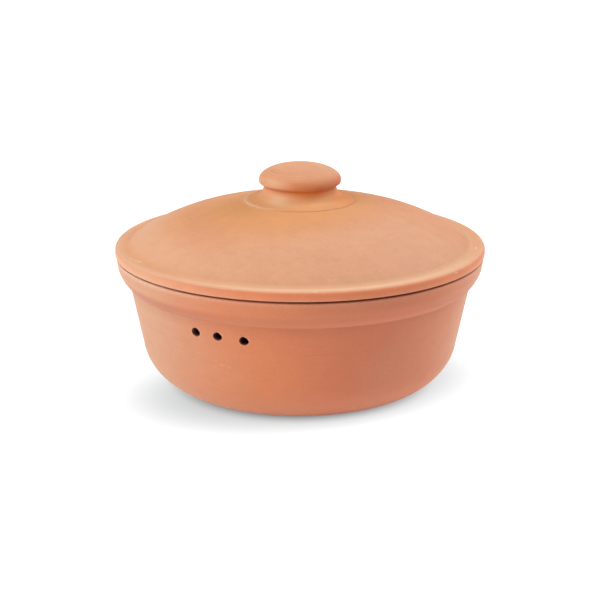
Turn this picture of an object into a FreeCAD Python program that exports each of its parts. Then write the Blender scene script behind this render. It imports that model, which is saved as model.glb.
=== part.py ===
import FreeCAD, Part
import math
import os

# Round terracotta bread baker: a tapered pot with a thick collar and two
# groups of vents, closed by a shallow domed lid with a hollow button knob.
# Units are millimetres. The turning axis is +Z, the pot stands on z = 0 and
# the front group of vents looks along -Y. Slopes and tapers are in degrees.

os.makedirs("parts", exist_ok=True)

# Overall
lid_diameter = 350.0
pot_height = 125.8            # the flat seat that the lid rests on
clay_thickness = 9.0
floor_thickness = 10.0

# Collar around the mouth of the pot
lid_overhang = 0.9            # lid edge beyond the collar, per side
collar_projection = 11.9      # collar beyond the wall, per side
collar_height = 25.6
collar_side_taper = 7.0
collar_under_angle = 54.0     # underside of the collar, from upright
collar_round = 26.5
collar_corner_round = 2.5
rim_outer_round = 2.2
rim_inner_round = 2.5

# Wall and base of the pot
wall_taper = 11.3             # lean of the wall outwards from upright
base_corner_round = 48.5
stand_ring_width = 14.0       # flat ring that the pot stands on
stand_recess = 1.5            # hollow of the base inside that ring
stand_recess_round = 1.0

# Vents, punched level through the wall
vent_diameter = 8.5
vent_drop = 39.8              # from the seat down to the middle of the vents
vent_step = 8.75              # turn between neighbours
vents_per_group = 3
vent_group_turns = [-90.0, 90.0]
vent_lip = 0.5                # width of the softened edge

# Lid edge and flange
relief_height = 1.8           # shadow gap between the lid edge and the pot
relief_width = 7.5
edge_low_round = 1.6
edge_height = 11.0            # from the seat to the crest line at the edge
edge_top_round = 4.0
flange_width = 12.0
flange_dish = 7.0             # fall of the flange inwards
valley_step = 4.4             # from the valley in to the edge of the dome
valley_round = 4.0

# Lid dome
dome_edge_rise = 13.2         # from the seat to the edge of the dome
dome_edge_slope = 33.5
dome_edge_round = 2.5
dome_shoulder_width = 58.6    # from the edge in to the straight upper part
dome_shoulder_rise = 25.6
dome_slope = 13.5

# Raised disc, neck and knob
knob_radius = 38.7
knob_overhang = 5.3           # knob beyond its neck
knob_under_fall = 0.2         # the underside falls outwards a little
knob_side = 4.9
knob_crown_rise = 14.75
knob_edge_round = 3.0
neck_pinch_round = 0.8
neck_rise = 10.6
neck_lean = 3.2               # the foot of the neck beyond its top
neck_round = 8.5
disc_width = 15.9             # disc beyond the foot of the neck
disc_step = 0.9
disc_step_lean = 0.3
disc_round = 0.6

# Recess under the knob
knob_wall = 9.0
knob_top_wall = 13.3
hollow_lean = 14.0            # narrowing upwards
hollow_mouth_round = 6.0
hollow_top_round = 8.0

# Ring under the lid that keeps it in the mouth of the pot
ring_clearance = 1.8
ring_depth = 8.0
ring_width = 10.0
ring_draft = 6.0
ring_round = 2.5
ring_top_round = 1.5
ring_root_round = 6.0

round_share = 0.98            # most of a side that its two rounds may take


def tan(degrees):
    return math.tan(math.radians(degrees))


def vec(r, z):
    return FreeCAD.Vector(r, 0.0, z)


def crossing(p, p_slope, q, q_slope):
    # meeting point of two lines, each given by a point and a slope
    r = (q[1] - p[1] + p[0] * tan(p_slope) - q[0] * tan(q_slope)) / (tan(p_slope) - tan(q_slope))
    return r, p[1] + (r - p[0]) * tan(p_slope)


def half_angle(points, i):
    before = vec(*points[i - 1][:2]) - vec(*points[i][:2])
    after = vec(*points[i + 1][:2]) - vec(*points[i][:2])
    return before.getAngle(after) / 2.0


def round_reaches(points):
    # length that each round takes from its two sides, less where a side is short
    reach = [0.0] * len(points)
    for i in range(1, len(points) - 1):
        if points[i][2] > 0:
            reach[i] = points[i][2] / math.tan(half_angle(points, i))
    limited = list(reach)
    for i in range(len(points) - 1):
        room = (vec(*points[i + 1][:2]) - vec(*points[i][:2])).Length * round_share
        wanted = reach[i] + reach[i + 1]
        if wanted > room:
            limited[i] = min(limited[i], reach[i] * room / wanted)
            limited[i + 1] = min(limited[i + 1], reach[i + 1] * room / wanted)
    return limited


def outline(points):
    # points are (radius, height, round of the corner)
    reach = round_reaches(points)
    edges = []
    last = vec(*points[0][:2])
    for i in range(1, len(points)):
        corner = vec(*points[i][:2])
        end = corner
        if reach[i] > 0:
            back = (vec(*points[i - 1][:2]) - corner).normalize()
            ahead = (vec(*points[i + 1][:2]) - corner).normalize()
            half = half_angle(points, i)
            middle_way = (back + ahead).normalize()
            radius = reach[i] * math.tan(half)
            start = corner + back * reach[i]
            middle = corner + middle_way * (radius / math.sin(half) - radius)
            end = corner + ahead * reach[i]
            edges.append(Part.makeLine(last, start))
            edges.append(Part.Arc(start, middle, end).toShape())
        else:
            edges.append(Part.makeLine(last, end))
        last = end
    return edges


def revolve(edges):
    face = Part.Face(Part.Wire(Part.__sortEdges__(edges)))
    solid = face.revolve(FreeCAD.Vector(0, 0, 0), FreeCAD.Vector(0, 0, 1), 360)
    if solid.Volume < 0:
        solid.reverse()
    return solid


# Radii and heights that the pot and the lid share
lid_radius = lid_diameter / 2.0
collar_radius = lid_radius - lid_overhang
collar_bottom = pot_height - collar_height


def wall_radius(z):
    return collar_radius - collar_projection - (collar_bottom - z) * tan(wall_taper)


def inner_radius(z):
    return wall_radius(z) - clay_thickness / math.cos(math.radians(wall_taper))


mouth_radius = inner_radius(pot_height)


# Pot
def make_pot():
    corner_reach = base_corner_round * tan((90.0 - wall_taper) / 2.0)
    ring_inner = wall_radius(0.0) - corner_reach - stand_ring_width
    belly = crossing((wall_radius(collar_bottom), collar_bottom), 90.0 - collar_under_angle,
                     (collar_radius, pot_height), 90.0 - collar_side_taper)
    floor_top = stand_recess + floor_thickness
    points = [
        (0.0, stand_recess, 0),
        (ring_inner, stand_recess, stand_recess_round),
        (ring_inner + stand_recess, 0.0, stand_recess_round),
        (wall_radius(0.0), 0.0, base_corner_round),
        (wall_radius(collar_bottom), collar_bottom, collar_corner_round),
        (belly[0], belly[1], collar_round),
        (collar_radius, pot_height, rim_outer_round),
        (mouth_radius, pot_height, rim_inner_round),
        (inner_radius(floor_top), floor_top, base_corner_round - clay_thickness),
        (0.0, floor_top, 0),
        (0.0, stand_recess, 0),
    ]
    return revolve(outline(points))


def vent_tools():
    height = pot_height - vent_drop
    tools = []
    for group_turn in vent_group_turns:
        for i in range(vents_per_group):
            turn = math.radians(group_turn + (i - (vents_per_group - 1) / 2.0) * vent_step)
            level = FreeCAD.Vector(math.cos(turn), math.sin(turn), 0.0)
            start = level * (wall_radius(height) - 2.0 * clay_thickness) + FreeCAD.Vector(0, 0, height)
            tools.append(Part.makeCylinder(vent_diameter / 2.0, 4.0 * clay_thickness, start, level))
    return tools


def vent_edges(body):
    # the outer edge of each vent is a closed loop, off the axis, on the outside of the wall
    middle_of_wall = wall_radius(pot_height - vent_drop) - clay_thickness / 2.0
    found = []
    for edge in body.Edges:
        centre = edge.BoundBox.Center
        if edge.isClosed() and math.hypot(centre.x, centre.y) > middle_of_wall:
            found.append(edge)
    return found


# Lid
def make_lid():
    seat = pot_height
    valley_radius = lid_radius - flange_width
    dome_edge = (valley_radius - valley_step, seat + dome_edge_rise)
    dome_top = (dome_edge[0] - dome_shoulder_width, dome_edge[1] + dome_shoulder_rise)
    shoulder = crossing(dome_edge, -dome_edge_slope, dome_top, -dome_slope)
    shoulder_reach = math.dist(shoulder, dome_edge) - dome_edge_round
    shoulder_round = shoulder_reach / tan((dome_edge_slope - dome_slope) / 2.0)
    neck_radius = knob_radius - knob_overhang
    foot_radius = neck_radius + neck_lean
    disc_radius = foot_radius + disc_width
    disc_foot = dome_top[1] + (dome_top[0] - disc_radius) * tan(dome_slope)
    disc_top = disc_foot + disc_step
    neck_foot = disc_top + disc_width * tan(dome_slope)
    pinch = neck_foot + neck_rise
    knob_low = pinch - knob_under_fall
    widest = knob_low + knob_side
    top = widest + knob_crown_rise
    outside = [
        (knob_radius, widest, 0),
        (knob_radius, knob_low, knob_edge_round),
        (neck_radius, pinch, neck_pinch_round),
        (foot_radius, neck_foot, neck_round),
        (disc_radius, disc_top, disc_round),
        (disc_radius + disc_step_lean, disc_foot, 0),
        (shoulder[0], shoulder[1], shoulder_round),
        (dome_edge[0], dome_edge[1], dome_edge_round),
        (valley_radius, seat + edge_height - flange_width * tan(flange_dish), valley_round),
        (lid_radius, seat + edge_height, edge_top_round),
        (lid_radius, seat + relief_height, edge_low_round),
        (lid_radius - relief_width, seat + relief_height, 0),
        (lid_radius - relief_width - relief_height, seat, 0),
    ]

    # the underside runs one clay thickness below the dome
    ring_low = seat - ring_depth
    ring_inside = inner_radius(ring_low) - ring_clearance - ring_width
    edge_turn = math.radians(dome_edge_slope)
    top_turn = math.radians(dome_slope)
    edge_in = (dome_edge[0] - clay_thickness * math.sin(edge_turn),
               dome_edge[1] - clay_thickness * math.cos(edge_turn))
    top_in = (dome_top[0] - clay_thickness * math.sin(top_turn),
              dome_top[1] - clay_thickness * math.cos(top_turn))
    shoulder_in = crossing(edge_in, -dome_edge_slope, top_in, -dome_slope)
    root = crossing((ring_inside, ring_low), 90.0 + ring_draft, edge_in, -dome_edge_slope)
    mouth = neck_radius - knob_wall
    mouth_height = top_in[1] + (top_in[0] - mouth) * tan(dome_slope)
    hollow_top = top - knob_top_wall
    inside = [
        (mouth_radius - ring_clearance, seat, ring_top_round),
        (inner_radius(ring_low) - ring_clearance, ring_low, ring_round),
        (ring_inside, ring_low, ring_round),
        (root[0], root[1], ring_root_round),
        (shoulder_in[0], shoulder_in[1], shoulder_round - clay_thickness),
        (mouth, mouth_height, hollow_mouth_round),
        (mouth - (hollow_top - mouth_height) * tan(hollow_lean), hollow_top, hollow_top_round),
        (0.0, hollow_top, 0),
        (0.0, top, 0),
    ]

    # the crown of the knob is a quarter ellipse above its widest line
    ellipse = Part.Ellipse(vec(knob_radius, widest), vec(0.0, top), vec(0.0, widest))
    quarter = Part.makeBox(knob_radius, 2.0, knob_crown_rise, FreeCAD.Vector(0.0, -1.0, widest))
    crown = ellipse.toShape().common(quarter).Edges
    return revolve(outline(outside + inside) + crown)


pot_body = make_pot()
for tool in vent_tools():
    pot_body = pot_body.cut(tool)
pot_body = pot_body.makeChamfer(vent_lip, vent_edges(pot_body))

for name, shape in (("pot_body", pot_body), ("lid", make_lid())):
    print(name, len(shape.Solids), shape.isValid(), round(shape.Volume))
    shape.Solids[0].exportStep(os.path.join("parts", name + ".step"))
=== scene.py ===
import math
from math import tan

import bmesh
import bpy
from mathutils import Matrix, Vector
from mathutils import noise


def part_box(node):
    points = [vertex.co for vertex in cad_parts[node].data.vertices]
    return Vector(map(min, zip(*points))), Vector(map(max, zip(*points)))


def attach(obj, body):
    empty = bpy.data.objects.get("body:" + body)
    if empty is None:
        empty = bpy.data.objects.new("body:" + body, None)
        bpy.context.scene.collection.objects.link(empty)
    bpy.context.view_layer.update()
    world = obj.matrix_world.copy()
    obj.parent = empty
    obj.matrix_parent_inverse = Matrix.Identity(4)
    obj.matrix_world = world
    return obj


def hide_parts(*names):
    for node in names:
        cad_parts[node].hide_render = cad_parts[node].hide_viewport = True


bl_info = {
    "name": "Terracotta bread baker",
    "version": (1, 0, 0),
    "blender": (4, 5, 0),
    "location": "View3D > Sidebar > Baker",
    "description": "A clay pot with vents and a domed lid, and the studio it stands in",
    "category": "Object",
}

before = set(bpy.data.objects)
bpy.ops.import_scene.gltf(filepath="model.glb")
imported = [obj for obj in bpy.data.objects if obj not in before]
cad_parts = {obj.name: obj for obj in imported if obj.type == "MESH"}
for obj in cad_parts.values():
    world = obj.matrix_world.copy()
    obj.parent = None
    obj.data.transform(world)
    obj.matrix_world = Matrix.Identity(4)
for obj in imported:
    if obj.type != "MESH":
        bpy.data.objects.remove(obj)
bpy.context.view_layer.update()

MM = 0.001
POT_LOW, POT_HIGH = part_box("pot_body")
LID_LOW, LID_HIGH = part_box("lid")
POT_HEIGHT = POT_HIGH[2] - POT_LOW[2]
LID_DIAMETER = LID_HIGH[0] - LID_LOW[0]
TURN_STEPS = 288
CROWN_POINTS = 15

# Places of corners in the lists that pot_outline and lid_outline return
POT_FOOT = 4
POT_BELLY = 5
POT_RIM = 6
LID_PINCH = CROWN_POINTS + 2
LID_DISC = CROWN_POINTS + 4

# The two groups of vents look along -Y and +Y. Each vent was punched by hand: it is turned
# aside and dropped, stretched sideways and upright, and its edge runs to a point.
VENT_GROUPS = (-math.pi / 2.0, math.pi / 2.0)
VENT_PLACES = (
    (math.radians(0.65), -0.8 * MM),
    (math.radians(0.05), -0.5 * MM),
    (math.radians(0.40), 0.7 * MM),
)
VENT_STRETCHES = ((1.06, 0.96), (1.03, 0.92), (0.97, 0.92))
VENT_POINTS = (0.00, 0.07, 0.10)
VENT_POINTS_TO = math.radians(-15.0)

# The flare of a vent: place along its axis, 0 at the wall, and growth as a share of the lip
VENT_FLARE = (
    (-3.0 * MM, 0.0),
    (-1.4 * MM, 0.0),
    (-0.6 * MM, 0.04),
    (-0.25 * MM, 0.32),
    (0.0, 1.0),
    (0.6 * MM, 3.4),
)

# Scratches and chips: start and end as turn from the front, radius and height,
# then the width and how pale the mark is.
LID_MARKS = (
    ((-41.0, 167.8, 135.9), (-39.2, 166.8, 135.8), 1.1, 0.5),
    ((-38.2, 165.6, 135.6), (-34.9, 162.8, 135.9), 1.2, 0.55),
    ((108.6, 166.0, 135.7), (106.4, 167.2, 135.8), 1.3, 0.5),
    ((78.6, 174.6, 134.5), (80.0, 174.6, 133.9), 1.0, 0.3),
    ((124.0, 151.9, 143.3), (117.5, 155.6, 141.0), 1.4, 0.3),
    ((31.0, 172.5, 136.2), (31.6, 172.6, 136.1), 1.2, 0.5),
    ((-7.3, 153.3, 142.4), (-7.0, 153.1, 142.5), 1.0, 0.25),
    ((54.5, 151.4, 143.6), (54.7, 151.3, 143.7), 1.0, 0.25),
)
POT_MARKS = (
    ((-0.4, 153.8, 58.7), (1.3, 153.8, 58.4), 1.0, 0.15),
    ((2.6, 153.6, 57.7), (3.5, 153.4, 57.0), 1.0, 0.15),
)

# The soft shadow on the floor: its middle, the way it runs, how much narrower it is
# across, where it starts and ends, and the share of light in its deepest part
SHADOW_PLACE = (0.012, -0.024, 0.0)
SHADOW_ALONG = (-0.625, -0.780)
SHADOW_NARROW = 1.53
SHADOW_REACH = (0.097, 0.221)
SHADOW_LIGHT = 0.549
CONTACT_REACH = (0.0935, 0.1315)
FLOOR_BOUNCE = 0.11

# The camera sees a cooler floor near the pot, where the clay would tint its shadow
COOL_REACH = (0.12, 0.30)
COOL_WHITE = (0.10, 0.132, 0.145)
FAR_WHITE = (0.344, 0.320, 0.316)
TRUE_WHITE = (0.93, 0.93, 0.93)

# Soft boxes: name, turn from the camera and elevation in degrees, width and height
SOFT_BOXES = (
    ("key", -60.0, 34.0, (1.1, 1.5)),
    ("side", 105.0, 38.0, (1.1, 1.2)),
    ("top", 0.0, 76.0, (1.1, 1.1)),
)
LAMP_DISTANCE = 1.7
LAMP_AIM = (0.0, 0.0, 0.1)


def length(name, text, mm):
    return bpy.props.FloatProperty(name=name, description=text, default=mm * MM, min=0.0,
                                   subtype="DISTANCE", unit="LENGTH", precision=5)


def angle(name, text, degrees):
    return bpy.props.FloatProperty(name=name, description=text, default=math.radians(degrees),
                                   subtype="ANGLE", unit="ROTATION")


def plain(name, text, default):
    return bpy.props.FloatProperty(name=name, description=text, default=default)


def colour(name, text, default):
    return bpy.props.FloatVectorProperty(name=name, description=text, default=default, size=3,
                                         min=0.0, max=1.0, subtype="COLOR")


class PotSizes(bpy.types.PropertyGroup):
    """Sizes of the pot"""
    height: length("Height", "From the table to the seat of the lid", POT_HEIGHT / MM)
    clay: length("Clay", "Thickness of the wall", 9.0)
    floor: length("Floor", "Thickness of the floor", 10.0)
    overhang: length("Overhang", "Lid edge beyond the collar", 0.9)
    collar_out: length("Collar projection", "Collar beyond the wall", 11.9)
    collar_height: length("Collar height", "From under the collar to the seat", 25.6)
    collar_taper: angle("Collar taper", "Lean of the collar's side", 7.0)
    collar_under: angle("Collar underside", "Underside of the collar from upright", 54.0)
    collar_round: length("Collar round", "Belly of the collar", 26.5)
    corner_round: length("Corner round", "Inner corner under the collar", 2.5)
    rim_outer_round: length("Outer rim round", "Outside edge of the seat", 1.5)
    rim_inner_round: length("Inner rim round", "Inside edge of the seat", 2.5)
    taper: angle("Wall taper", "Lean of the wall outwards", 11.3)
    base_round: length("Base round", "Big round between wall and base", 48.5)
    stand_width: length("Stand ring", "Flat ring that the pot stands on", 14.0)
    stand_recess: length("Recess", "Hollow of the base inside the stand ring", 1.5)
    stand_round: length("Recess round", "Edges of that hollow", 1.0)
    vent: length("Vent", "Diameter of a vent", 8.5)
    vent_drop: length("Vent drop", "From the seat down to the vents", 39.8)
    vent_step: angle("Vent step", "Turn between neighbouring vents", 8.75)
    vent_lip: length("Vent lip", "Softened edge of a vent", 0.5)
    vent_uneven: length("Vent unevenness", "How far a punched edge strays", 0.3)


class LidSizes(bpy.types.PropertyGroup):
    """Sizes of the lid"""
    diameter: length("Diameter", "Outside diameter", LID_DIAMETER / MM)
    relief: length("Relief", "Shadow gap between the lid edge and the pot", 1.5)
    relief_width: length("Relief width", "Depth of the shadow gap", 7.5)
    low_round: length("Low round", "Lower edge of the lid", 1.6)
    edge_height: length("Edge height", "From the seat to the crest of the edge", 11.0)
    top_round: length("Top round", "Upper edge of the lid", 4.0)
    flange: length("Flange", "Width of the flange", 12.0)
    flange_dish: angle("Flange dish", "Fall of the flange inwards", 7.0)
    valley_step: length("Valley step", "From the valley in to the dome", 4.4)
    valley_round: length("Valley round", "Soft corner at the foot of the dome", 4.0)
    dome_rise: length("Dome edge rise", "From the seat to the edge of the dome", 13.2)
    dome_edge_slope: angle("Dome edge slope", "Slope of the dome at its edge", 33.5)
    dome_edge_round: length("Dome edge round", "Edge of the dome", 2.5)
    shoulder_width: length("Shoulder width", "Edge of the dome to its upper part", 58.6)
    shoulder_rise: length("Shoulder rise", "Rise of the shoulder", 25.6)
    dome_slope: angle("Dome slope", "Slope of the upper part", 13.5)
    knob: length("Knob", "Radius of the knob", 38.7)
    knob_overhang: length("Knob overhang", "Knob beyond its neck", 5.3)
    knob_fall: length("Knob underside", "Fall of the underside outwards", 0.2)
    knob_side: length("Knob side", "Height of the side", 4.9)
    knob_crown: length("Knob crown", "Rise of the crown", 14.75)
    knob_edge_round: length("Knob edge round", "Edge under the knob's side", 3.0)
    pinch_round: length("Pinch round", "Corner between knob and neck", 0.8)
    neck_rise: length("Neck rise", "From the disc to the pinch", 10.6)
    neck_lean: length("Neck lean", "Foot of the neck beyond its top", 3.2)
    neck_round: length("Neck round", "Flare of the neck", 8.5)
    disc_width: length("Disc width", "Raised disc beyond the foot of the neck", 15.9)
    disc_step: length("Disc step", "Height of the raised disc", 0.9)
    disc_lean: length("Disc lean", "Lean of the step", 0.3)
    disc_round: length("Disc round", "Edge of the disc", 0.6)
    knob_wall: length("Knob wall", "Clay round the hollow of the knob", 9.0)
    knob_top: length("Knob top", "Clay over the hollow of the knob", 13.3)
    hollow_lean: angle("Hollow lean", "Narrowing of the hollow", 14.0)
    hollow_mouth_round: length("Hollow mouth round", "Mouth of the hollow", 6.0)
    hollow_top_round: length("Hollow top round", "Top of the hollow", 8.0)
    ring_clearance: length("Ring clearance", "Between the ring and the mouth", 1.8)
    ring_depth: length("Ring depth", "Depth of the ring in the mouth", 8.0)
    ring_width: length("Ring width", "Thickness of the ring", 10.0)
    ring_draft: angle("Ring draft", "Lean of the ring's inner side", 6.0)
    ring_round: length("Ring round", "Edges of the ring", 2.5)
    ring_top_round: length("Ring top round", "Corner where the ring meets the seat", 1.5)
    ring_root_round: length("Ring root round", "Corner where the ring meets the dome", 6.0)


class ClayColours(bpy.types.PropertyGroup):
    """Colours and grain of the fired clay"""
    lid_clay: colour("Lid clay", "Deep colour of the lid", (0.61, 0.225, 0.083))
    lid_ochre: colour("Lid ochre", "Yellower clouds on the lid", (0.625, 0.262, 0.076))
    # painted shade: deep saturated colour under the knob and right of the disc
    lid_deep_shade: colour("Lid ember", "Bare clay in the hollow under the knob", (0.90, 0.24, 0.033))
    # painted shade: redder, darker colour for side faces of the lid edge and knob, away from the left
    # light
    lid_side_shade: colour("Lid edge", "Redder clay on the side of the lid", (0.69, 0.20, 0.075))
    # painted highlight: pale yellow where light catches the flange, dome, neck and knob
    lid_highlight: colour("Lid flange", "Pale yellow clay on the flange", (0.70, 0.405, 0.225))
    # painted light: pale colour for the upward faces and the lit left flank of the lid
    lid_painted_light: colour("Lid bloom", "Pale bloom on the upward faces of the lid", (0.635, 0.308, 0.165))
    pot_clay: colour("Pot clay", "Deep colour of the pot", (0.605, 0.172, 0.074))
    pot_ochre: colour("Pot ochre", "Yellower clouds on the pot", (0.615, 0.195, 0.073))
    # painted light: pale colour for the lit flanks and the base of the pot
    pot_painted_light: colour("Pot bloom", "Pale bloom on the flanks of the pot", (0.555, 0.278, 0.155))
    # painted highlight: pale colour along edges and rounds where light catches them
    rubbed: colour("Rubbed clay", "Paler clay along worn edges", (0.70, 0.44, 0.31))
    dust: colour("Dust", "Pale specks and scratches", (0.80, 0.58, 0.44))
    # painted shade: near black for the walls inside the vents
    shade_dark: colour("Soot", "Dark walls of the vents", (0.05, 0.005, 0.002))
    # painted shade: brown for the gap under the lid, creases and just inside the vents
    shade_brown: colour("Scorch", "Brown clay in the gap and just inside the vents", (0.25, 0.045, 0.010))
    grain: length("Grain", "Size of the finest grain", 0.9)
    cloud: length("Cloud", "Size of the colour clouds", 70.0)
    warp: length("Warp", "How far the turned surface strays", 0.25)


class Studio(bpy.types.PropertyGroup):
    """Camera and lamps"""
    turn: angle("Turn", "Camera from the front towards the right", 27.0)
    elevation: angle("Elevation", "Camera above the middle of the part", 15.55)
    distance: length("Distance", "Camera from the middle of the part", 1457.8)
    middle: length("Middle", "Height that the elevation is measured from", 113.7)
    aim: length("Aim", "Height on the axis that the camera looks at", 76.5)
    lens: plain("Lens", "Focal length in millimetres on a 36 mm sensor", 91.55)
    key: plain("Key", "Strength of the left soft box in watts", 24.5)
    top: plain("Top", "Strength of the top soft box in watts", 5.0)
    side: plain("Side", "Strength of the right soft box in watts", 23.5)
    sky: plain("Sky", "Strength of the room light", 0.26)


def crossing(p, p_slope, q, q_slope):
    """Meeting point of two lines, each given by a point and a slope"""
    r = (q[1] - p[1] + p[0] * tan(p_slope) - q[0] * tan(q_slope)) / (tan(p_slope) - tan(q_slope))
    return r, p[1] + (r - p[0]) * tan(p_slope)


def deselect():
    if bpy.context.mode != "OBJECT":
        bpy.ops.object.mode_set(mode="OBJECT")
    bpy.ops.object.select_all(action="DESELECT")


def pick(obj):
    """Make obj the only selected and the active object"""
    deselect()
    obj.select_set(True)
    bpy.context.view_layer.objects.active = obj


def edit_mesh():
    bpy.ops.object.mode_set(mode="EDIT")
    return bmesh.from_edit_mesh(bpy.context.active_object.data)


def half_angle(points, i):
    corner = Vector(points[i][:2])
    before = Vector(points[i - 1][:2]) - corner
    after = Vector(points[i + 1][:2]) - corner
    return before.angle(after) / 2.0


def round_reaches(points, share=0.98):
    """Length that each round takes from its sides, less where a side is short"""
    reach = [0.0] * len(points)
    for i in range(1, len(points) - 1):
        if points[i][2] > 0:
            reach[i] = points[i][2] / tan(half_angle(points, i))
    limited = list(reach)
    for i in range(len(points) - 1):
        room = (Vector(points[i + 1][:2]) - Vector(points[i][:2])).length * share
        wanted = reach[i] + reach[i + 1]
        if wanted > room:
            limited[i] = min(limited[i], reach[i] * room / wanted)
            limited[i + 1] = min(limited[i + 1], reach[i + 1] * room / wanted)
    return limited


def round_segments(points, i, reach):
    """Enough segments for a smooth round, more on a large one"""
    half = half_angle(points, i)
    radius = reach * tan(half)
    arc = radius * (math.pi - 2.0 * half)
    return max(4, min(26, int(arc / (3.2 * MM)) + 3))


def draw_outline(name, points):
    """Draw the outline in the XZ plane, point by point, and round its corners"""
    deselect()
    bpy.ops.mesh.primitive_plane_add(size=MM, location=(0.0, 0.0, 0.0))
    outline = bpy.context.active_object
    outline.name = name
    outline.data.name = name
    bpy.ops.object.mode_set(mode="EDIT")
    bpy.ops.mesh.select_mode(type="VERT")
    bpy.ops.mesh.select_all(action="SELECT")
    bpy.ops.mesh.merge(type="CENTER")
    bpy.ops.transform.translate(value=(points[0][0], 0.0, points[0][1]))
    for i in range(1, len(points)):
        step = (points[i][0] - points[i - 1][0], 0.0, points[i][1] - points[i - 1][1])
        bpy.ops.mesh.extrude_vertices_move(TRANSFORM_OT_translate={"value": step})
    reach = round_reaches(points)
    for i in range(1, len(points) - 1):
        if reach[i] <= 0:
            continue
        mesh = bmesh.from_edit_mesh(outline.data)
        corner = Vector((points[i][0], 0.0, points[i][1]))
        bpy.ops.mesh.select_all(action="DESELECT")
        nearest = min(mesh.verts, key=lambda v: (v.co - corner).length)
        nearest.select_set(True)
        mesh.select_flush_mode()
        bmesh.update_edit_mesh(outline.data)
        bpy.ops.mesh.bevel(offset_type="OFFSET", offset=reach[i], affect="VERTICES",
                           segments=round_segments(points, i, reach[i]), profile=0.5,
                           clamp_overlap=False)
    return outline


def split_long_edges(outline, limit):
    """Cut straight stretches into even lengths no longer than the limit"""
    mesh = bmesh.from_edit_mesh(outline.data)
    lengths = sorted({int(math.ceil(e.calc_length() / limit)) for e in mesh.edges})
    for parts in lengths:
        if parts < 2:
            continue
        mesh = bmesh.from_edit_mesh(outline.data)
        bpy.ops.mesh.select_all(action="DESELECT")
        for e in mesh.edges:
            if int(math.ceil(e.calc_length() / limit)) == parts:
                e.select_set(True)
        bmesh.update_edit_mesh(outline.data)
        bpy.ops.mesh.subdivide(number_cuts=parts - 1)


def turn_outline():
    """Spin the outline that is being edited about the axis and close its seam and poles"""
    bpy.ops.mesh.select_all(action="SELECT")
    bpy.ops.mesh.spin(steps=TURN_STEPS, angle=2.0 * math.pi, center=(0.0, 0.0, 0.0),
                      axis=(0.0, 0.0, 1.0))
    bpy.ops.mesh.select_all(action="SELECT")
    bpy.ops.mesh.remove_doubles(threshold=0.00002)
    bpy.ops.mesh.normals_make_consistent(inside=False)
    bpy.ops.object.mode_set(mode="OBJECT")


def wall_radius(s, z):
    """Outside of the pot's wall at a height"""
    low = s.height - s.collar_height
    return LID_DIAMETER / 2.0 - s.overhang - s.collar_out - (low - z) * tan(s.taper)


def inner_radius(s, z):
    """Inside of the pot's wall at a height"""
    return wall_radius(s, z) - s.clay / math.cos(s.taper)


def pot_outline(s):
    """Corners of the pot's section: radius, height and round"""
    radius = LID_DIAMETER / 2.0 - s.overhang
    low = s.height - s.collar_height
    quarter = math.pi / 2.0
    base = wall_radius(s, 0.0)
    wall_top = wall_radius(s, low)
    ring = base - s.base_round * tan((quarter - s.taper) / 2.0) - s.stand_width
    belly = crossing((wall_top, low), quarter - s.collar_under,
                     (radius, s.height), quarter - s.collar_taper)
    floor_top = s.stand_recess + s.floor
    return [
        (0.0, s.stand_recess, 0.0),
        (ring, s.stand_recess, s.stand_round),
        (ring + s.stand_recess, 0.0, s.stand_round),
        (base, 0.0, s.base_round),
        (wall_top, low, s.corner_round),
        (*belly, s.collar_round),
        (radius, s.height, s.rim_outer_round),
        (inner_radius(s, s.height), s.height, s.rim_inner_round),
        (inner_radius(s, floor_top), floor_top, s.base_round - s.clay),
        (0.0, floor_top, 0.0),
    ]


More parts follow.
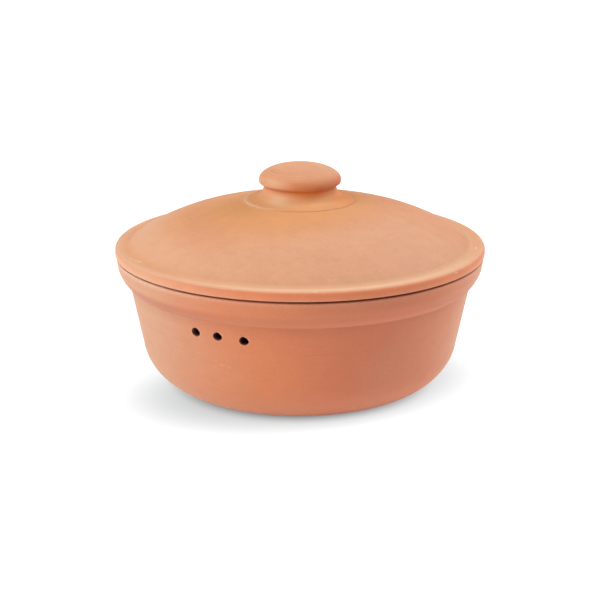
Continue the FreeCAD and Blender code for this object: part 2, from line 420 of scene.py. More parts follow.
def lid_outline(s, pot):
    """Corners of the lid's section, from the top of the knob round to its hollow"""
    seat = pot.height
    edge = s.diameter / 2.0
    quarter = math.pi / 2.0
    valley = edge - s.flange
    dome_edge = (valley - s.valley_step, seat + s.dome_rise)
    dome_top = (dome_edge[0] - s.shoulder_width, dome_edge[1] + s.shoulder_rise)
    shoulder = crossing(dome_edge, -s.dome_edge_slope, dome_top, -s.dome_slope)
    shoulder_reach = math.dist(shoulder, dome_edge) - s.dome_edge_round
    shoulder_round = shoulder_reach / tan((s.dome_edge_slope - s.dome_slope) / 2.0)
    neck = s.knob - s.knob_overhang
    foot = neck + s.neck_lean
    disc = foot + s.disc_width
    disc_foot = dome_top[1] + (dome_top[0] - disc) * tan(s.dome_slope)
    neck_foot = disc_foot + s.disc_step + s.disc_width * tan(s.dome_slope)
    pinch = neck_foot + s.neck_rise
    knob_low = pinch - s.knob_fall
    widest = knob_low + s.knob_side
    top = widest + s.knob_crown
    crown = []
    for i in range(CROWN_POINTS):
        t = quarter * i / CROWN_POINTS
        crown.append((s.knob * math.sin(t), widest + s.knob_crown * math.cos(t), 0.0))
    outside = [
        (s.knob, widest, 0.0),
        (s.knob, knob_low, s.knob_edge_round),
        (neck, pinch, s.pinch_round),
        (foot, neck_foot, s.neck_round),
        (disc, disc_foot + s.disc_step, s.disc_round),
        (disc + s.disc_lean, disc_foot, 0.0),
        (*shoulder, shoulder_round),
        (*dome_edge, s.dome_edge_round),
        (valley, seat + s.edge_height - s.flange * tan(s.flange_dish), s.valley_round),
        (edge, seat + s.edge_height, s.top_round),
        (edge, seat + s.relief, s.low_round),
        (edge - s.relief_width, seat + s.relief, 0.0),
        (edge - s.relief_width - s.relief, seat, 0.0),
    ]

    def below(point, slope):
        """Point on the inside of the dome, straight through the clay from one outside"""
        return point[0] - pot.clay * math.sin(slope), point[1] - pot.clay * math.cos(slope)

    ring_low = seat - s.ring_depth
    ring_outside = inner_radius(pot, ring_low) - s.ring_clearance
    ring_inside = ring_outside - s.ring_width
    edge_in = below(dome_edge, s.dome_edge_slope)
    top_in = below(dome_top, s.dome_slope)
    shoulder_in = crossing(edge_in, -s.dome_edge_slope, top_in, -s.dome_slope)
    root = crossing((ring_inside, ring_low), quarter + s.ring_draft, edge_in, -s.dome_edge_slope)
    hollow = neck - s.knob_wall
    hollow_foot = top_in[1] + (top_in[0] - hollow) * tan(s.dome_slope)
    hollow_top = top - s.knob_top
    inside = [
        (inner_radius(pot, seat) - s.ring_clearance, seat, s.ring_top_round),
        (ring_outside, ring_low, s.ring_round),
        (ring_inside, ring_low, s.ring_round),
        (*root, s.ring_root_round),
        (*shoulder_in, shoulder_round - pot.clay),
        (hollow, hollow_foot, s.hollow_mouth_round),
        (hollow - (hollow_top - hollow_foot) * tan(s.hollow_lean), hollow_top, s.hollow_top_round),
        (0.0, hollow_top, 0.0),
    ]
    return crown + outside + inside


def smooth(value, low, high):
    """Soft step from 0 at low to 1 at high"""
    t = min(1.0, max(0.0, (value - low) / (high - low)))
    return t * t * (3.0 - 2.0 * t)


def hump(value, middle, width):
    """Soft hump with a height of 1 at the middle"""
    return math.exp(-((value - middle) / width) ** 2)


def clouds(spot, size):
    """Soft uneven clouds from 0 to 1"""
    return smooth(noise.noise(spot / size + Vector((7.0, 3.0, 5.0))), -0.2, 0.35)


class Place:
    """Where a vertex lies: radius, height, how far above a level, how far it faces up, turn in
    degrees from the front towards the right, and its shares of the left flank, which gets the most
    painted light, and of the right one, both with an uneven edge"""

    def __init__(self, v, level):
        self.spot = v.co.copy()
        self.radius = math.hypot(v.co.x, v.co.y)
        self.height = v.co.z
        self.above = v.co.z - level
        self.slope = v.normal.z
        self.turn = math.degrees(math.atan2(v.co.x, -v.co.y))
        self.wander = noise.noise(v.co * 16.0)
        turn = self.turn + 12.0 * self.wander
        self.left = smooth(turn, 20.0, -36.0) * smooth(turn, -160.0, -110.0)
        self.right = smooth(turn, 58.0, 104.0) * smooth(turn, 175.0, 130.0)


def paint(piece, name, places, rule, *sizes):
    """Store a number for each vertex, as the rule works it out from place and sizes"""
    values = [rule(p, *sizes) for p in places]
    attribute = piece.data.attributes.new(name, "FLOAT", "POINT")
    attribute.data.foreach_set("value", values)


def rubbed(p, rings):
    """Share of painted highlight near rings given as radius, height, width, strength and strength on
    the left flank"""
    highlit = 0.0
    for radius, height, width, strength, left_strength in rings:
        gap = math.hypot(p.radius - radius, p.height - height)
        share = strength + (left_strength - strength) * p.left
        highlit = max(highlit, share * hump(gap, 0.0, width))
    return highlit


def under_collar(p):
    """1 on the underside of the pot's collar"""
    return smooth(p.slope, -0.3, -0.6) * smooth(p.height, 60.0 * MM, 80.0 * MM)


def pot_ochre(p, size):
    """Yellower clay of the pot: clouds and left of its front, least right of it"""
    yellow = min(1.0, 0.35 * clouds(p.spot, size) + 0.7 * hump(p.turn, 10.0, 26.0))
    ruddy = smooth(p.turn, 24.0, 52.0) * smooth(p.turn, 150.0, 110.0)
    return yellow * (1.0 - 0.9 * ruddy)


def pot_painted_light(p):
    """Painted light on the pot: pale highlights on the lit left and right flanks and near the base,
    little under the collar, and weak random pale clouds elsewhere
    """
    weak = 0.30 * smooth(noise.noise(p.spot * 11.0 + Vector((4.0, 9.0, 2.0))), 0.0, 0.5)
    low = 1.0 - 0.6 * p.right * smooth(p.height, 60.0 * MM, 20.0 * MM)
    base = 0.25 * smooth(p.height, 45.0 * MM, 15.0 * MM) * (1.0 - p.right)
    pale = max(p.left, 0.75 * p.right * low, weak, base)
    return pale * (1.0 - 0.8 * under_collar(p))


def pot_painted_shade(p, rim, foot):
    """Painted shade of the pot: its rim inside the gap under the lid, the underside of the collar and
    the wall close below it; also a darker band right of the front"""
    inwards = rim[0] - p.radius
    gap = smooth(p.above, -1.2 * MM, -0.4 * MM)
    gap *= smooth(inwards, 1.2 * MM, 4.2 * MM) * smooth(inwards, 12.0 * MM, 10.0 * MM)
    under = (0.18 + 0.22 * p.left) * under_collar(p)
    below = 0.14 * smooth(p.height, foot[1] - 13.0 * MM, foot[1] - 1.0 * MM)
    below *= smooth(inwards, 8.0 * MM, 9.0 * MM) * smooth(p.slope, 0.3, 0.0)
    return max(0.65 * gap, under, below, 0.07 * hump(p.turn, 60.0, 20.0))


def on_knob(p, s):
    return p.radius < s.knob + 0.1 * MM and p.above > 0.0


def facing_up(p, s):
    """How far the lid faces up, judged more strictly on its edge than on the dome"""
    if on_knob(p, s):
        return smooth(p.slope, 0.45, 0.95)
    if p.radius > s.diameter / 2.0 - s.top_round:
        return smooth(p.slope, 0.78, 0.96)
    return smooth(p.slope, 0.25, 0.85)


def ochre_reach(p):
    """How much farther out the yellower upper dome runs, on its left"""
    return 22.0 * MM * smooth(p.turn, 60.0, 5.0)


def lid_ochre(p, size):
    """Yellower clay of the lid: in clouds and round the neck"""
    outwards = p.radius - ochre_reach(p)
    neck = smooth(outwards, 100.0 * MM, 50.0 * MM) * smooth(p.above, 1.0 * MM, 0.0)
    return max(neck, 0.7 * clouds(p.spot, size))


def lid_painted_light(p, s):
    """Painted light on the lid: pale highlight on its upward faces and its left flank"""
    up = facing_up(p, s)
    share = 0.75
    flank = 0.85 * p.left
    if not on_knob(p, s):
        outwards = p.radius + 6.0 * MM * p.wander - ochre_reach(p)
        share = 0.15 + 0.85 * smooth(outwards, 56.0 * MM, 108.0 * MM)
        share *= 1.0 - 0.7 * smooth(p.spot.y, -30.0 * MM, 80.0 * MM)
        share *= 1.0 - 0.7 * p.left * smooth(p.radius, 150.0 * MM, 110.0 * MM)
        flank = p.left
    outwards = p.radius - s.diameter / 2.0 + s.flange
    trough = smooth(outwards, -3.5 * MM, 0.0) * smooth(outwards, 6.0 * MM, 2.0 * MM)
    share *= 1.0 - 0.7 * trough * p.left
    return max(up * share, (1.0 - up) * flank)


def lid_side_shade(p, s):
    """Painted shade of the lid: redder, darker colour on the side of its edge and of the knob, least
    on the left, where the light falls
    """
    side = 1.0 - facing_up(p, s)
    if on_knob(p, s):
        return side * (0.3 + 0.7 * p.right) * (1.0 - p.left)
    crest = s.diameter / 2.0 - s.top_round
    side *= smooth(p.radius, crest - 1.0 * MM, crest)
    return max(0.0, side * (1.0 - 0.9 * p.left - 0.4 * p.right))


def lid_painted_highlight(p, s):
    """Painted highlight of the lid: pale yellow on the flange, the left of the dome, and one patch on
    the foot of the neck and the side of the knob"""
    valley = s.diameter / 2.0 - s.flange
    flange = smooth(p.radius, valley - 5.0 * MM, valley - 1.0 * MM)
    flange *= 0.8 - 0.55 * p.left - 0.3 * p.right
    dome = 0.28 * p.left * smooth(p.radius, 120.0 * MM, 150.0 * MM)
    outwards = p.radius - s.knob
    neck = smooth(outwards, -5.5 * MM, -3.0 * MM) * smooth(outwards, 11.0 * MM, 2.0 * MM)
    neck *= smooth(p.above, -2.5 * MM, -5.5 * MM) * (1.0 - p.right)
    neck *= 0.18 + 0.77 * hump(p.turn, -5.0, 18.0)
    knob = smooth(p.above, 1.0 * MM, 3.5 * MM) * smooth(p.slope, 0.9, 0.45)
    knob *= 0.65 * hump(p.turn, -11.0, 22.0)
    return max(facing_up(p, s) * max(flange, dome), neck, knob)


def lid_painted_shade(p, s, seat, disc):
    """Painted shade of the lid: the underside of its edge over the gap, the pinch under the knob, the
    right of the knob, its neck and the disc's step, and faintly the left of the upper dome"""
    gap = smooth(p.height - seat - s.relief, 0.5 * MM, 0.1 * MM)
    gap *= smooth(p.radius - s.diameter / 2.0 + s.relief_width, -4.0 * MM, -2.0 * MM)
    pinch = math.hypot(p.radius - s.knob + s.knob_overhang, p.above)
    pinch = (0.35 + 0.35 * p.right) * hump(pinch, 0.0, 1.3 * MM)
    step = math.hypot(p.radius - disc[0] - 0.5 * MM, p.height - disc[1])
    step = 0.4 * p.right * hump(step, 0.0, 0.9 * MM)
    low = smooth(p.turn, 32.0, 62.0) * smooth(p.turn, 175.0, 130.0)
    low *= smooth(p.above, 7.0 * MM, 2.0 * MM) * smooth(p.above, -0.8 * MM, -0.3 * MM)
    side = (0.26 * p.right + 0.25 * low) * smooth(p.above, -8.0 * MM, -4.0 * MM)
    side *= smooth(p.radius - s.knob, 3.0 * MM, 1.0 * MM) * smooth(p.slope, 0.85, 0.25)
    upper = smooth(p.radius, 55.0 * MM, 70.0 * MM) * smooth(p.radius, 130.0 * MM, 95.0 * MM)
    return max(0.65 * gap, pinch, step, side, 0.06 * p.left * upper)


def lid_knob_shade(p, s):
    """Painted shade, deep in colour: the neck close under the knob and the right of the disc"""
    outwards = p.radius - s.knob
    neck = smooth(p.above, 2.5 * MM, -0.5 * MM) * smooth(p.above, -9.5 * MM, -1.0 * MM)
    neck *= smooth(outwards, 6.0 * MM, 0.0) * (0.22 + 0.6 * hump(p.turn, 48.0, 36.0))
    disc = smooth(outwards, 18.0 * MM, 8.0 * MM) * smooth(p.above, 0.0, -3.0 * MM)
    return max(neck, 0.3 * p.right * disc)


def lid_turned(p, s):
    """Where the marks of turning show most: the top of the knob"""
    return smooth(p.above - s.knob_side, 0.0, 5.0 * MM)


def warp_clay(piece, amount):
    """Let the turned surface stray inwards a little, as pressed and fired clay does"""
    normals = [v.normal.copy() for v in piece.data.vertices]
    for v, normal in zip(piece.data.vertices, normals):
        slow = noise.noise(v.co * 14.0) * 0.5 + 0.5
        middle = noise.noise(v.co * 45.0 + Vector((3.1, 1.7, 8.2))) * 0.5 + 0.5
        give = amount * (0.75 * slow + 0.25 * middle)
        v.co -= normal * give


def vent_place(s, place):
    """Turn of a vent from the middle of its group, and its height"""
    aside, drop = VENT_PLACES[place]
    return (place - 1) * s.vent_step + aside, s.height - s.vent_drop - drop


def vent_punch(s, group, place):
    """A punch for one vent: level, a little uneven, and flared to a soft lip at the wall"""
    turn, height = vent_place(s, place)
    turn += group
    wide, tall = VENT_STRETCHES[place]
    radius = s.vent / 2.0
    out = Vector((math.cos(turn), math.sin(turn), 0.0))
    side = Vector((-math.sin(turn), math.cos(turn), 0.0))
    up = Vector((0.0, 0.0, 1.0))
    middle = out * wall_radius(s, height) + up * height
    inner_end = -2.0 * s.clay
    depth = -6.0 * MM
    deselect()
    bpy.ops.mesh.primitive_cylinder_add(vertices=40, radius=radius, depth=depth - inner_end,
                                        end_fill_type="NGON",
                                        location=(0.0, 0.0, (depth + inner_end) / 2.0))
    punch = bpy.context.active_object
    punch.name = "vent_punch"
    bpy.ops.object.transform_apply(location=True, rotation=False, scale=False)
    mesh = edit_mesh()
    bpy.ops.mesh.select_all(action="DESELECT")
    for f in mesh.faces:
        if f.normal.z > 0.9:
            f.select_set(True)
    bmesh.update_edit_mesh(punch.data)
    reach = radius
    for next_depth, growth in VENT_FLARE:
        next_reach = radius + growth * s.vent_lip
        share = next_reach / reach
        step = (0.0, 0.0, next_depth - depth)
        bpy.ops.mesh.extrude_region_move(TRANSFORM_OT_translate={"value": step})
        bpy.ops.transform.resize(value=(share, share, 1.0))
        depth = next_depth
        reach = next_reach
    bpy.ops.object.mode_set(mode="OBJECT")
    for v in punch.data.vertices:
        x, y, z = v.co
        around = math.atan2(y, x)
        stray = noise.noise(Vector((math.cos(around) * 1.6, math.sin(around) * 1.6, 5.3 * turn)))
        grow = 1.0 + stray * s.vent_uneven / radius
        grow += VENT_POINTS[place] * max(0.0, math.cos(around - VENT_POINTS_TO)) ** 6
        lean = y * tan(s.taper) * smooth(z, -1.5 * MM, -0.6 * MM)
        v.co = middle + out * (z + lean) + side * (x * grow * wide) + up * (y * grow * tall)
    return punch


def cut(piece, tool):
    """Cut the tool out of the piece and delete it"""
    pick(piece)
    modifier = piece.modifiers.new("cut", "BOOLEAN")
    modifier.operation = "DIFFERENCE"
    modifier.solver = "EXACT"
    modifier.object = tool
    bpy.ops.object.modifier_apply(modifier=modifier.name)
    bpy.data.objects.remove(tool, do_unlink=True)


def on_clay(spot):
    """Point on the clay from its turn in degrees and its radius and height in millimetres"""
    turn = math.radians(spot[0])
    return (spot[1] * MM * math.sin(turn), -spot[1] * MM * math.cos(turn), spot[2] * MM)


class Recipe:
    """A material, or the room light, being put together from nodes"""

    def __init__(self, holder):
        holder.use_nodes = True
        self.holder = holder
        self.nodes = holder.node_tree.nodes
        self.links = holder.node_tree.links
        self.nodes.clear()

    def add(self, kind, *values, **settings):
        """A node with its settings, and a value for each of its first sockets"""
        made = self.nodes.new(kind)
        for key, value in settings.items():
            setattr(made, key, value)
        for socket, value in zip(made.inputs, values):
            self.feed(socket, value)
        return made

    def feed(self, socket, value):
        """Set a socket to a number or colour, or link an output to it"""
        if isinstance(value, bpy.types.NodeSocket):
            self.links.new(value, socket)
        elif isinstance(value, (int, float)):
            socket.default_value = value
        elif len(socket.default_value) == 4:
            socket.default_value = (value[0], value[1], value[2], 1.0)
        else:
            socket.default_value = value

    def fill(self, made, values):
        """Feed sockets of a node by their names"""
        for name, value in values.items():
            self.feed(made.inputs[name], value)

    def noise(self, vector, size, detail, roughness=0.5):
        made = self.add("ShaderNodeTexNoise", vector)
        self.fill(made, {"Scale": 1.0 / size, "Detail": detail, "Roughness": roughness})
        return made.outputs["Fac"]

    def spread(self, value, low, high, to_low=0.0, to_high=1.0):
        """Soft step from to_low, where the value is low, to to_high, where it is high"""
        made = self.add("ShaderNodeMapRange", value, low, high, to_low, to_high,
                        interpolation_type="SMOOTHSTEP")
        return made.outputs["Result"]

    def maths(self, operation, a, b=0.0):
        return self.add("ShaderNodeMath", a, b, operation=operation).outputs[0]

    def times(self, a, b):
        return self.maths("MULTIPLY", a, b)

    def vector(self, operation, a, b=(0.0, 0.0, 0.0)):
        made = self.add("ShaderNodeVectorMath", a, b, operation=operation)
        if operation in ("LENGTH", "DISTANCE", "DOT_PRODUCT"):
            return made.outputs["Value"]
        return made.outputs["Vector"]

    def scaled(self, a, factor):
        made = self.add("ShaderNodeVectorMath", a, operation="SCALE")
        self.feed(made.inputs["Scale"], factor)
        return made.outputs["Vector"]

    def blend(self, share, low, high, mode="MIX"):
        made = self.add("ShaderNodeMix", data_type="RGBA", blend_type=mode)
        self.feed(made.inputs[0], share)
        self.feed(made.inputs[6], low)
        self.feed(made.inputs[7], high)
        return made.outputs[2]

    def diagonal(self, a, b):
        """Length of the diagonal over two numbers at right angles"""
        return self.maths("SQRT", self.maths("ADD", self.times(a, a), self.times(b, b)))

    def stored(self, name):
        return self.add("ShaderNodeAttribute", attribute_name=name).outputs["Fac"]

    def finish(self, shader):
        self.add("ShaderNodeOutputMaterial", shader)
        return self.holder


class Clay(Recipe):
    """Matte fired clay: clouds, painted light on lit faces, painted shade on side faces where asked,
    turning marks, grain, specks and painted highlights along edges
    """

    def __init__(self, name, c, clay, ochre, bloom, mottling, edge=None):
        super().__init__(bpy.data.materials.new(name))
        self.c = c
        self.place = self.add("ShaderNodeTexCoord").outputs["Object"]
        split = self.add("ShaderNodeSeparateXYZ", self.place)
        self.ahead = split.outputs["Y"]
        self.height = split.outputs["Z"]
        flat = self.vector("MULTIPLY", self.place, (1.0, 1.0, 0.0))
        self.radius = self.vector("LENGTH", flat)
        self.mix_textures()

        self.colour = self.blend(self.stored("ochre"), clay, ochre)
        # painted shade: redder, darker colour on side faces turned from the light
        if edge:
            self.colour = self.blend(self.stored("edge"), self.colour, edge)
        # painted light: paler colour on the upward faces and the lit flanks
        patchy = self.spread(self.mottle, 0.2, 0.6, 0.88, 1.0)
        lit_share = self.times(self.stored("bloom"), patchy)
        self.colour = self.blend(lit_share, self.colour, bloom)
        self.shade_grain(mottling)
        self.highlights_and_specks()

    def mix_textures(self):
        """Marks of turning, which run round the axis and fade in and out, grain and clouds"""
        section = self.add("ShaderNodeCombineXYZ", self.radius, self.height).outputs[0]
        self.marks = self.noise(section, 2.2 * MM, 3.0, 0.55)
        self.broad_marks = self.noise(section, 9.0 * MM, 2.0)
        self.fade = self.spread(self.noise(self.place, 30.0 * MM, 2.0), 0.4, 0.7)
        self.grain = self.noise(self.place, self.c.grain, 3.0, 0.6)
        self.sand = self.noise(self.place, 3.2 * self.c.grain, 3.0, 0.55)
        self.mottle = self.noise(self.place, 0.2 * self.c.cloud, 3.0, 0.55)

    def shade_grain(self, mottling):
        """Darken and lighten the colour with clouds, sand, grain and marks of turning"""
        shade = 1.0
        for texture, depth in ((self.mottle, mottling), (self.sand, 0.15), (self.grain, 0.28)):
            part = self.maths("ADD", self.times(texture, depth), 1.0 - depth / 2.0)
            shade = self.times(shade, part)
        streak = self.times(self.maths("SUBTRACT", self.marks, 0.5), self.fade)
        strength = self.maths("ADD", self.times(self.stored("turned"), 0.7), 0.22)
        shade = self.maths("ADD", shade, self.times(streak, strength))
        grey = self.add("ShaderNodeCombineColor", shade, shade, shade)
        self.colour = self.blend(1.0, self.colour, grey.outputs[0], "MULTIPLY")

    def highlights_and_specks(self):
        """Painted highlights along edges and a few pale specks"""
        patchy = self.spread(self.sand, 0.25, 0.6, 0.5, 1.0)
        highlit = self.times(self.stored("rubbed"), patchy)
        self.colour = self.blend(highlit, self.colour, self.c.rubbed)
        specks = self.add("ShaderNodeTexVoronoi", self.place, feature="F1")
        self.feed(specks.inputs["Scale"], 1.0 / (11.0 * MM))
        dots = self.spread(specks.outputs["Distance"], 0.03, 0.06, 0.22, 0.0)
        self.colour = self.blend(dots, self.colour, self.c.dust)

    def facing(self):
        """The place, turned half round behind the axis, so that both halves match"""
        return self.scaled(self.place, self.times(self.maths("SIGN", self.ahead), -1.0))

    def near_line(self, start, end, width):
        """How near a point is to a short stroke, 1 on it and 0 beyond its width"""
        start = Vector(start)
        along = Vector(end) - start
        offset = self.vector("SUBTRACT", self.place, tuple(start))
        share = self.vector("DOT_PRODUCT", offset, tuple(along))
        share = self.maths("DIVIDE", share, along.length_squared)
        share = self.maths("MINIMUM", self.maths("MAXIMUM", share, 0.0), 1.0)
        gap = self.vector("DISTANCE", offset, self.scaled(tuple(along), share))
        return self.spread(gap, 0.3 * width, width, 1.0, 0.0)

    def mark(self, marks):
        """Draw pale scratches and chips"""
        for start, end, width, strength in marks:
            near = self.near_line(on_clay(start), on_clay(end), width * MM)
            self.colour = self.blend(self.times(near, strength), self.colour, self.c.dust)

    def fire(self):
        """Close the recipe with the matte shader and its bump"""
        turned = self.times(self.marks, self.fade)
        bumps = 0.0
        for texture, depth in ((self.grain, 0.35), (self.sand, 0.45), (turned, 0.5),
                               (self.broad_marks, 0.8)):
            bumps = self.maths("ADD", bumps, self.times(texture, depth))
        bump = self.add("ShaderNodeBump")
        self.fill(bump, {"Height": bumps, "Strength": 0.55, "Distance": 0.12 * MM})
        shader = self.add("ShaderNodeBsdfPrincipled")
        self.fill(shader, {
            "Base Color": self.colour,
            "Roughness": self.spread(self.sand, 0.2, 0.8, 0.72, 0.86),
            "Normal": bump.outputs[0],
            "Diffuse Roughness": 0.3,
            "Specular IOR Level": 0.7,
            "Sheen Weight": 0.14,
            "Sheen Roughness": 0.45,
            "Sheen Tint": (1.0, 0.9, 0.84),
        })
        return self.finish(shader.outputs[0])


def pot_material(s, c):
    """Clay of the pot, with painted shade inside the vents and painted highlights on their lips"""
    clay = Clay("pot_clay", c, c.pot_clay, c.pot_ochre, c.pot_painted_light, 0.10)
    radius = s.vent / 2.0
    nearest = 1.0
    # both groups share one pattern: the back one is the front one turned half round
    for place, (wide, tall) in enumerate(VENT_STRETCHES):
        turn, height = vent_place(s, place)
        side = (math.cos(turn), math.sin(turn), 0.0)
        aside = clay.maths("DIVIDE", clay.vector("DOT_PRODUCT", clay.facing(), side), wide)
        rise = clay.maths("DIVIDE", clay.maths("SUBTRACT", clay.height, height), tall)
        nearest = clay.maths("MINIMUM", clay.diagonal(aside, rise), nearest)
    # painted highlight: paler colour on the softened lips round the vents
    lip = clay.spread(nearest, radius + 0.4 * MM, radius + 1.4 * MM, 0.4, 0.0)
    clay.colour = clay.blend(lip, clay.colour, c.rubbed)
    depth = clay.maths("SUBTRACT", wall_radius(s, s.height - s.vent_drop), clay.radius)
    inside = clay.spread(nearest, radius, radius + 0.6 * MM, 1.0, 0.0)
    # painted shade inside the vents: brown just inside the mouth, near black deeper in
    for colour, start, end in ((c.shade_brown, 0.0, 0.7 * MM), (c.shade_dark, 1.4 * MM, 4.6 * MM)):
        vent_shade = clay.times(clay.spread(depth, start, end), inside)
        clay.colour = clay.blend(vent_shade, clay.colour, colour)
    # painted shade in the gap under the lid and under the collar, and a darker band right of the
    # front
    clay.colour = clay.blend(clay.stored("dim"), clay.colour, c.shade_brown)
    clay.mark(POT_MARKS)
    return clay.fire()


def lid_material(c):
    """Clay of the lid, with painted shade under the knob and in creases, painted highlights, and a
    few pale scratches and chips
    """
    clay = Clay("lid_clay", c, c.lid_clay, c.lid_ochre, c.lid_painted_light, 0.15, c.lid_side_shade)
    # painted highlight on the flange, dome, neck and knob, and painted shade under the knob, in
    # creases and over the gap
    for name, colour in (("flange", c.lid_highlight), ("bare", c.lid_deep_shade), ("dim", c.shade_brown)):
        clay.colour = clay.blend(clay.stored(name), clay.colour, colour)
    clay.mark(LID_MARKS)
    return clay.fire()


def finish_piece(piece, material, node_name):
    """Give the piece its clay and its place in the frame"""
    piece.data.materials.clear()
    piece.data.materials.append(material)
    pick(piece)
    bpy.ops.object.shade_smooth_by_angle(angle=math.radians(40.0))
    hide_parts(node_name)
    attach(piece, "root")
    deselect()


class OBJECT_OT_clay_pot(bpy.types.Operator):
    """Model the pot with its collar, vents and stand ring"""
    bl_idname = "object.clay_pot"
    bl_label = "Clay pot"

    def execute(self, context):
        s = context.scene.baker_pot
        c = context.scene.baker_clay
        points = pot_outline(s)
        pot = draw_outline("clay_pot", points)
        split_long_edges(pot, 6.0 * MM)
        turn_outline()
        warp_clay(pot, c.warp)
        for group in VENT_GROUPS:
            for place in range(len(VENT_PLACES)):
                cut(pot, vent_punch(s, group, place))
        belly = points[POT_BELLY]
        rim = points[POT_RIM]
        places = [Place(v, rim[1]) for v in pot.data.vertices]
        # painted highlights on the round of the rim and under the collar's belly
        rings = [
            (rim[0] - 0.3 * MM, rim[1] - 1.0 * MM, 1.2 * MM, 0.22, 0.8),
            (belly[0] - 6.5 * MM, belly[1] - 1.5 * MM, 2.6 * MM, 0.12, 0.25),
        ]
        paint(pot, "rubbed", places, rubbed, rings)
        paint(pot, "ochre", places, pot_ochre, c.cloud)
        # painted light: pale highlights on the pot's lit flanks and near its base
        paint(pot, "bloom", places, pot_painted_light)
        # painted shade in the gap, under the collar and a darker band right of the front
        paint(pot, "dim", places, pot_painted_shade, rim, points[POT_FOOT])
        finish_piece(pot, pot_material(s, c), "pot_body")
        return {"FINISHED"}


class OBJECT_OT_clay_lid(bpy.types.Operator):
    """Model the lid with its flange, dome, raised disc, neck and knob"""
    bl_idname = "object.clay_lid"
    bl_label = "Clay lid"

    def execute(self, context):
        s = context.scene.baker_lid
        c = context.scene.baker_clay
        pot = context.scene.baker_pot
        points = lid_outline(s, pot)
        lid = draw_outline("clay_lid", points)
        split_long_edges(lid, 5.0 * MM)
        turn_outline()
        warp_clay(lid, c.warp)
        edge = s.diameter / 2.0
        seat = pot.height
        disc = points[LID_DISC]
        places = [Place(v, points[LID_PINCH][1]) for v in lid.data.vertices]
        # painted highlights on the crest of the lid's edge, the disc's edge and the lid's lower edge
        rings = [
            (edge - 2.2 * MM, seat + s.edge_height - 0.9 * MM, 0.8 * MM, 0.60, 0.70),
            (disc[0], disc[1], 1.0 * MM, 0.08, 0.7),
            (edge, seat + s.relief + 0.8 * MM, 1.2 * MM, 0.3, 0.4),
        ]
        paint(lid, "rubbed", places, rubbed, rings)
        paint(lid, "ochre", places, lid_ochre, c.cloud)
        # painted light on the lid's upward faces and left flank
        paint(lid, "bloom", places, lid_painted_light, s)
        # painted shade on the side faces of the lid edge and knob
        paint(lid, "edge", places, lid_side_shade, s)
        # painted highlight on the flange, the left of the dome, the neck and the knob
        paint(lid, "flange", places, lid_painted_highlight, s)
        # painted shade over the gap, at the pinch, on the right of the knob, at the disc's step and
        # faintly left of the upper dome
        paint(lid, "dim", places, lid_painted_shade, s, seat, disc)
        # painted shade, deep in colour, on the neck under the knob and right of the disc
        paint(lid, "bare", places, lid_knob_shade, s)
        paint(lid, "turned", places, lid_turned, s)
        finish_piece(lid, lid_material(c), "lid")
        return {"FINISHED"}


def aim_at(obj, target):
    obj.rotation_euler = (Vector(target) - obj.location).to_track_quat("-Z", "Y").to_euler()


def around(turn, elevation, distance, middle):
    """Point at a turn from the front towards the right, seen from the middle height"""
    return Vector((math.sin(turn) * math.cos(elevation) * distance,
                   -math.cos(turn) * math.cos(elevation) * distance,
                   middle + math.sin(elevation) * distance))


def soft_box(name, place, size, watts):
    deselect()
    bpy.ops.object.light_add(type="AREA", location=place)
    lamp = bpy.context.active_object
    lamp.name = name
    lamp.data.shape = "RECTANGLE"
    lamp.data.size = size[0]
    lamp.data.size_y = size[1]
    lamp.data.energy = watts
    aim_at(lamp, LAMP_AIM)


def floor_material():
    """White floor: its glow is for the camera, least where the pot stands and in a long
    soft shadow round it, and what the object gets of it is only a faint bounce"""
    floor = Recipe(bpy.data.materials.new("white_floor"))
    place = floor.add("ShaderNodeTexCoord").outputs["Object"]
    distance = floor.vector("LENGTH", place)
    offset = floor.vector("SUBTRACT", place, SHADOW_PLACE)
    along = floor.vector("DOT_PRODUCT", offset, (SHADOW_ALONG[0], SHADOW_ALONG[1], 0.0))
    across = floor.vector("DOT_PRODUCT", offset, (-SHADOW_ALONG[1] * SHADOW_NARROW,
                                                  SHADOW_ALONG[0] * SHADOW_NARROW, 0.0))
    reach = floor.diagonal(along, across)
    path = floor.add("ShaderNodeLightPath")
    seen = path.outputs["Is Camera Ray"]
    glow = floor.spread(reach, *SHADOW_REACH, SHADOW_LIGHT)
    glow = floor.times(glow, floor.spread(distance, *CONTACT_REACH))
    shown = floor.maths("MAXIMUM", seen, path.outputs["Is Glossy Ray"])
    bounce = floor.times(floor.maths("SUBTRACT", 1.0, shown), FLOOR_BOUNCE)
    shine = floor.add("ShaderNodeEmission")
    floor.feed(shine.inputs["Strength"], floor.maths("ADD", floor.times(shown, glow), bounce))
    cool = floor.blend(floor.spread(distance, *COOL_REACH), COOL_WHITE, FAR_WHITE)
    matte = floor.add("ShaderNodeBsdfDiffuse", floor.blend(seen, TRUE_WHITE, cool))
    both = floor.add("ShaderNodeAddShader", matte.outputs[0], shine.outputs[0])
    return floor.finish(both.outputs[0])


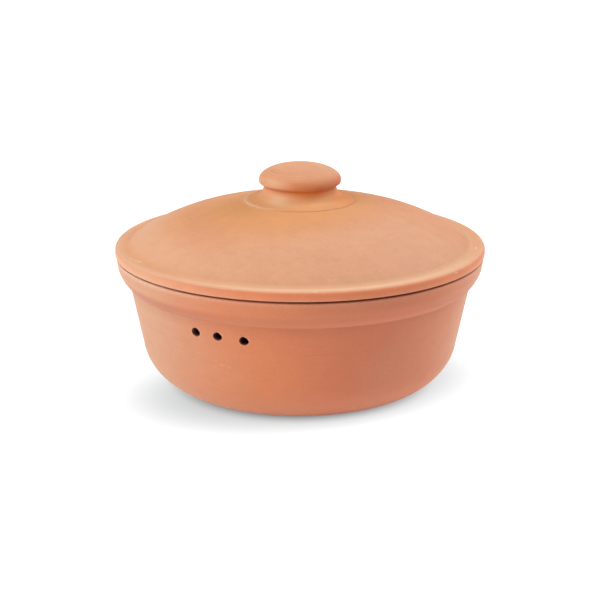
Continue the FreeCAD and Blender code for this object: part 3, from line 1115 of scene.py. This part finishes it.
class SCENE_OT_clay_stage(bpy.types.Operator):
    """Lay the white floor and set up the camera, soft boxes and room light"""
    bl_idname = "scene.clay_stage"
    bl_label = "Stage"

    def execute(self, context):
        s = context.scene.baker_studio
        deselect()
        bpy.ops.mesh.primitive_plane_add(size=8.0, location=(0.0, 0.0, 0.0))
        floor = context.active_object
        floor.name = "floor"
        floor.data.materials.append(floor_material())

        bpy.ops.object.camera_add(location=around(s.turn, s.elevation, s.distance, s.middle))
        camera = context.active_object
        camera.name = "camera"
        camera.data.lens = s.lens
        camera.data.sensor_width = 36.0
        camera.data.clip_end = 50.0
        aim_at(camera, (0.0, 0.0, s.aim))
        context.scene.camera = camera

        for name, aside, elevation, size in SOFT_BOXES:
            place = around(s.turn + math.radians(aside), math.radians(elevation),
                           LAMP_DISTANCE, LAMP_AIM[2])
            soft_box(name + "_box", place, size, getattr(s, name))

        world = bpy.data.worlds.new("white_room")
        context.scene.world = world
        room = Recipe(world)
        seen = room.add("ShaderNodeLightPath").outputs["Is Camera Ray"]
        strength = room.add("ShaderNodeMapRange", seen, 0.0, 1.0, s.sky, 1.0).outputs["Result"]
        light = room.add("ShaderNodeBackground", (1.0, 1.0, 1.0), strength)
        room.add("ShaderNodeOutputWorld", light.outputs[0])

        context.scene.view_settings.view_transform = "Standard"
        return {"FINISHED"}


class VIEW3D_PT_bread_baker(bpy.types.Panel):
    """Sizes and colours of the baker, and its pieces"""
    bl_label = "Bread baker"
    bl_space_type = "VIEW_3D"
    bl_region_type = "UI"
    bl_category = "Baker"

    def draw(self, context):
        layout = self.layout
        for title, holder, operator in (
            ("Pot", context.scene.baker_pot, "object.clay_pot"),
            ("Lid", context.scene.baker_lid, "object.clay_lid"),
            ("Clay", context.scene.baker_clay, None),
            ("Studio", context.scene.baker_studio, "scene.clay_stage"),
        ):
            box = layout.box()
            box.label(text=title)
            for name in holder.__annotations__:
                box.prop(holder, name)
            if operator:
                box.operator(operator)


CLASSES = (
    PotSizes,
    LidSizes,
    ClayColours,
    Studio,
    OBJECT_OT_clay_pot,
    OBJECT_OT_clay_lid,
    SCENE_OT_clay_stage,
    VIEW3D_PT_bread_baker,
)


def register():
    for kind in CLASSES:
        bpy.utils.register_class(kind)
    bpy.types.Scene.baker_pot = bpy.props.PointerProperty(type=PotSizes)
    bpy.types.Scene.baker_lid = bpy.props.PointerProperty(type=LidSizes)
    bpy.types.Scene.baker_clay = bpy.props.PointerProperty(type=ClayColours)
    bpy.types.Scene.baker_studio = bpy.props.PointerProperty(type=Studio)


def unregister():
    del bpy.types.Scene.baker_studio
    del bpy.types.Scene.baker_clay
    del bpy.types.Scene.baker_lid
    del bpy.types.Scene.baker_pot
    for kind in reversed(CLASSES):
        bpy.utils.unregister_class(kind)


def main():
    register()
    bpy.ops.object.clay_pot()
    bpy.ops.object.clay_lid()
    bpy.ops.scene.clay_stage()


if __name__ == "__main__":
    main()
